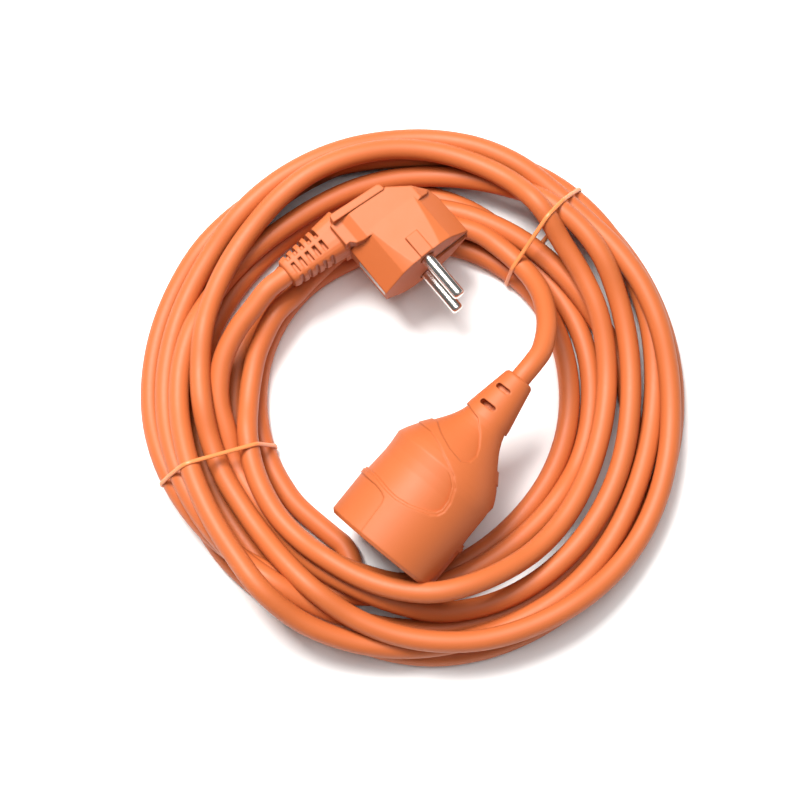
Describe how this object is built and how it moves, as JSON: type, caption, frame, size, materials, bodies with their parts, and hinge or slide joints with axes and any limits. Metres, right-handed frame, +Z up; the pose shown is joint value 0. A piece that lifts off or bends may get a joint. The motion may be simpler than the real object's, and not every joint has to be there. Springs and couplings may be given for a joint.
{
  "type": "extension cord",
  "caption": "Coiled earthed extension cord with an angled plug, a straight moulded socket with a turning safety shutter, and thin ties.",
  "frame": {"origin": "on the floor, under the middle of the plug and the socket taken together, near the middle of the coil", "axes": "+Z up from the floor the cord lies on, +Y from the socket across the coil to the plug, +X to the side the socket's neck points to"},
  "size_m": [0.202, 0.202, 0.05],
  "materials": {
    "orange_moulding": "satin moulded PVC",
    "cord_jacket": "satin extruded PVC",
    "tie_plastic": "smooth thin strap",
    "nickel_plate": "nickel plated brass, slightly dulled",
    "nickel_strip": "nickel plated bent strip",
    "contact_brass": "bright brass",
    "spring_steel": "spring wire",
    "carrier_grey": "dark glass-filled carrier",
    "shutter_orange": "satin moulded disc",
    "core_brown": "core insulation",
    "core_blue": "core insulation",
    "core_green_yellow": "core insulation"
  },
  "bodies": {
    "cord": {"plug_body": "orange_moulding", "plug_bridge": "carrier_grey", "plug_pin_line": "nickel_plate", "plug_pin_neutral": "nickel_plate", "plug_earth_strip": "nickel_strip", "plug_earth_sleeve": "contact_brass", "plug_core_brown": "core_brown", "plug_core_blue": "core_blue", "plug_core_earth": "core_green_yellow", "socket_body": "orange_moulding", "socket_insert": "carrier_grey", "socket_back_cap": "carrier_grey", "socket_contact_line": "contact_brass", "socket_contact_neutral": "contact_brass", "socket_earth_bracket": "nickel_strip", "socket_shutter_spring": "spring_steel", "socket_core_brown": "core_brown", "socket_core_blue": "core_blue", "socket_core_earth": "core_green_yellow", "cord_coil": "cord_jacket", "cord_tail_plug": "cord_jacket", "cord_tail_socket": "cord_jacket", "tie_right": "tie_plastic", "tie_left": "tie_plastic"},
    "shutter": {"socket_shutter": "shutter_orange"}
  },
  "joints": [
    {"name": "shutter_turn", "type": "hinge", "parent": "cord", "child": "shutter", "pos_m": [0.0052, -0.04273, 0.02596], "axis": [0.6349, 0.7566, 0.1564], "range_deg": [0, 38], "stiffness_Nm_per_rad": 0.002, "springref_deg": -20.05}
  ]
}
